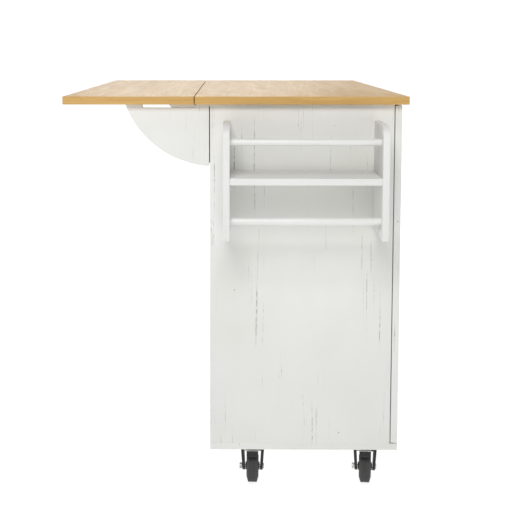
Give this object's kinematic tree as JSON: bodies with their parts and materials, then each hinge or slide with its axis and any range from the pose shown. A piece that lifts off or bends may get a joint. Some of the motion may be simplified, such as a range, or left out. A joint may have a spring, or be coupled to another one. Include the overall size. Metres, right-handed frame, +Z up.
{
  "type": "kitchen island cart",
  "caption": "Rolling kitchen island cart with a drop leaf on swing-out brackets, an end rack with shelf and bars, doors, drawers and swivel casters.",
  "frame": {"origin": "bottom centre of the whole object's box, on the floor", "axes": "+Z up, +X along the cart away from the end rack, +Y towards the drop leaf at the back; doors and drawers face -Y"},
  "size_m": [1.344, 0.79, 0.913],
  "materials": {
    "white_laminate": "whitewashed grain, matt",
    "white_paint": "white satin paint",
    "oak_laminate": "light oak grain, satin",
    "drawer_board": "plain white board, matt",
    "dowel_wood": "raw beech",
    "zinc_steel": "zinc plated",
    "catch_plastic": "white plastic",
    "brushed_nickel": "brushed nickel",
    "black_steel": "black powder coat",
    "black_plastic": "black moulded plastic",
    "tread": "dark grey rubber",
    "hub_plastic": "black moulded plastic"
  },
  "bodies": {
    "root": {"bottom_panel": "white_laminate", "rack_end_panel": "white_laminate", "far_end_panel": "white_laminate", "left_divider": "white_laminate", "right_divider": "white_laminate", "back_panel": "white_laminate", "top_rails": "white_laminate", "worktop": "oak_laminate", "carcass_screws": "zinc_steel", "rail_dowels": "dowel_wood", "left_shelf": "white_laminate", "right_shelf": "white_laminate", "shelf_pins": "zinc_steel", "rack_front_upright": "white_laminate", "rack_rear_upright": "white_laminate", "rack_shelf": "white_laminate", "rack_top_bar": "white_paint", "rack_bottom_bar": "white_paint", "leaf_hinge_fixed_halves": "zinc_steel", "bracket_hinge_fixed_halves": "zinc_steel", "door_pivot_pins": "zinc_steel", "door_catches": "catch_plastic", "drawer_slides": "zinc_steel", "caster_top_plates": "zinc_steel", "caster_plate_screws": "zinc_steel"},
    "leaf": {"drop_leaf": "oak_laminate", "leaf_hinge_moving_halves": "zinc_steel"},
    "near_bracket": {"near_leaf_bracket": "white_laminate", "near_bracket_hinge_halves": "zinc_steel"},
    "far_bracket": {"far_leaf_bracket": "white_laminate", "far_bracket_hinge_halves": "zinc_steel"},
    "left_door": {"left_door": "white_laminate", "left_door_handle": "brushed_nickel"},
    "right_door": {"right_door": "white_laminate", "right_door_handle": "brushed_nickel"},
    "top_drawer": {"top_drawer_front": "white_laminate", "top_drawer_box": "drawer_board", "top_drawer_handle": "brushed_nickel"},
    "middle_drawer": {"middle_drawer_front": "white_laminate", "middle_drawer_box": "drawer_board", "middle_drawer_handle": "brushed_nickel"},
    "bottom_drawer": {"bottom_drawer_front": "white_laminate", "bottom_drawer_box": "drawer_board", "bottom_drawer_handle": "brushed_nickel"},
    "near_back_fork": {"near_back_caster_fork": "black_steel"},
    "near_back_wheel": {"near_back_caster_tyre": "tread", "near_back_caster_hub": "hub_plastic"},
    "near_back_brake": {"near_back_caster_brake": "black_plastic"},
    "near_front_fork": {"near_front_caster_fork": "black_steel"},
    "near_front_wheel": {"near_front_caster_tyre": "tread", "near_front_caster_hub": "hub_plastic"},
    "near_front_brake": {"near_front_caster_brake": "black_plastic"},
    "far_back_fork": {"far_back_caster_fork": "black_steel"},
    "far_back_wheel": {"far_back_caster_tyre": "tread", "far_back_caster_hub": "hub_plastic"},
    "far_back_brake": {"far_back_caster_brake": "black_plastic"},
    "far_front_fork": {"far_front_caster_fork": "black_steel"},
    "far_front_wheel": {"far_front_caster_tyre": "tread", "far_front_caster_hub": "hub_plastic"},
    "far_front_brake": {"far_front_caster_brake": "black_plastic"}
  },
  "joints": [
    {"name": "leaf_lift", "type": "hinge", "parent": "root", "child": "leaf", "pos_m": [0.072, 0.1, 0.8914], "axis": [1, 0, 0], "range_deg": [0, 4.5]},
    {"name": "near_bracket_swing", "type": "hinge", "parent": "root", "child": "near_bracket", "pos_m": [-0.4934, 0.0686, 0.825], "axis": [0, 0, -1], "range_deg": [0, 90]},
    {"name": "far_bracket_swing", "type": "hinge", "parent": "root", "child": "far_bracket", "pos_m": [0.6374, 0.0686, 0.825], "axis": [0, 0, 1], "range_deg": [0, 90]},
    {"name": "left_door_pivot", "type": "hinge", "parent": "root", "child": "left_door", "pos_m": [-0.507, -0.361, 0.5], "axis": [0, 0, -1], "range_deg": [0, 110]},
    {"name": "right_door_pivot", "type": "hinge", "parent": "root", "child": "right_door", "pos_m": [0.651, -0.361, 0.5], "axis": [0, 0, 1], "range_deg": [0, 110]},
    {"name": "top_drawer_slide", "type": "slide", "parent": "root", "child": "top_drawer", "axis": [0, -1, 0], "range_m": [0, 0.25]},
    {"name": "middle_drawer_slide", "type": "slide", "parent": "root", "child": "middle_drawer", "axis": [0, -1, 0], "range_m": [0, 0.25]},
    {"name": "bottom_drawer_slide", "type": "slide", "parent": "root", "child": "bottom_drawer", "axis": [0, -1, 0], "range_m": [0, 0.25]},
    {"name": "near_back_swivel", "type": "hinge", "parent": "root", "child": "near_back_fork", "pos_m": [-0.437, -0.035, 0.08], "axis": [0, 0, 1], "continuous": true},
    {"name": "near_back_roll", "type": "hinge", "parent": "near_back_fork", "child": "near_back_wheel", "pos_m": [-0.46098, -0.03416, 0.0375], "axis": [0.0349, 0.9994, 0], "continuous": true},
    {"name": "near_back_brake_press", "type": "hinge", "parent": "near_back_fork", "child": "near_back_brake", "pos_m": [-0.46898, -0.03388, 0.0788], "axis": [-0.0349, -0.9994, 0], "range_deg": [0, 12]},
    {"name": "near_front_swivel", "type": "hinge", "parent": "root", "child": "near_front_fork", "pos_m": [-0.437, -0.302, 0.08], "axis": [0, 0, 1], "continuous": true},
    {"name": "near_front_roll", "type": "hinge", "parent": "near_front_fork", "child": "near_front_wheel", "pos_m": [-0.46087, -0.29949, 0.0375], "axis": [0.1045, 0.9945, 0], "continuous": true},
    {"name": "near_front_brake_press", "type": "hinge", "parent": "near_front_fork", "child": "near_front_brake", "pos_m": [-0.46882, -0.29866, 0.0788], "axis": [-0.1045, -0.9945, 0], "range_deg": [0, 12]},
    {"name": "far_back_swivel", "type": "hinge", "parent": "root", "child": "far_back_fork", "pos_m": [0.581, -0.035, 0.08], "axis": [0, 0, 1], "continuous": true},
    {"name": "far_back_roll", "type": "hinge", "parent": "far_back_fork", "child": "far_back_wheel", "pos_m": [0.56622, -0.05391, 0.0375], "axis": [-0.788, 0.6157, 0], "continuous": true},
    {"name": "far_back_brake_press", "type": "hinge", "parent": "far_back_fork", "child": "far_back_brake", "pos_m": [0.5613, -0.06022, 0.0788], "axis": [0.788, -0.6157, 0], "range_deg": [0, 12]},
    {"name": "far_front_swivel", "type": "hinge", "parent": "root", "child": "far_front_fork", "pos_m": [0.581, -0.302, 0.08], "axis": [0, 0, 1], "continuous": true},
    {"name": "far_front_roll", "type": "hinge", "parent": "far_front_fork", "child": "far_front_wheel", "pos_m": [0.56289, -0.28625, 0.0375], "axis": [0.6561, 0.7547, 0], "continuous": true},
    {"name": "far_front_brake_press", "type": "hinge", "parent": "far_front_fork", "child": "far_front_brake", "pos_m": [0.55685, -0.28101, 0.0788], "axis": [-0.6561, -0.7547, 0], "range_deg": [0, 12]}
  ]
}
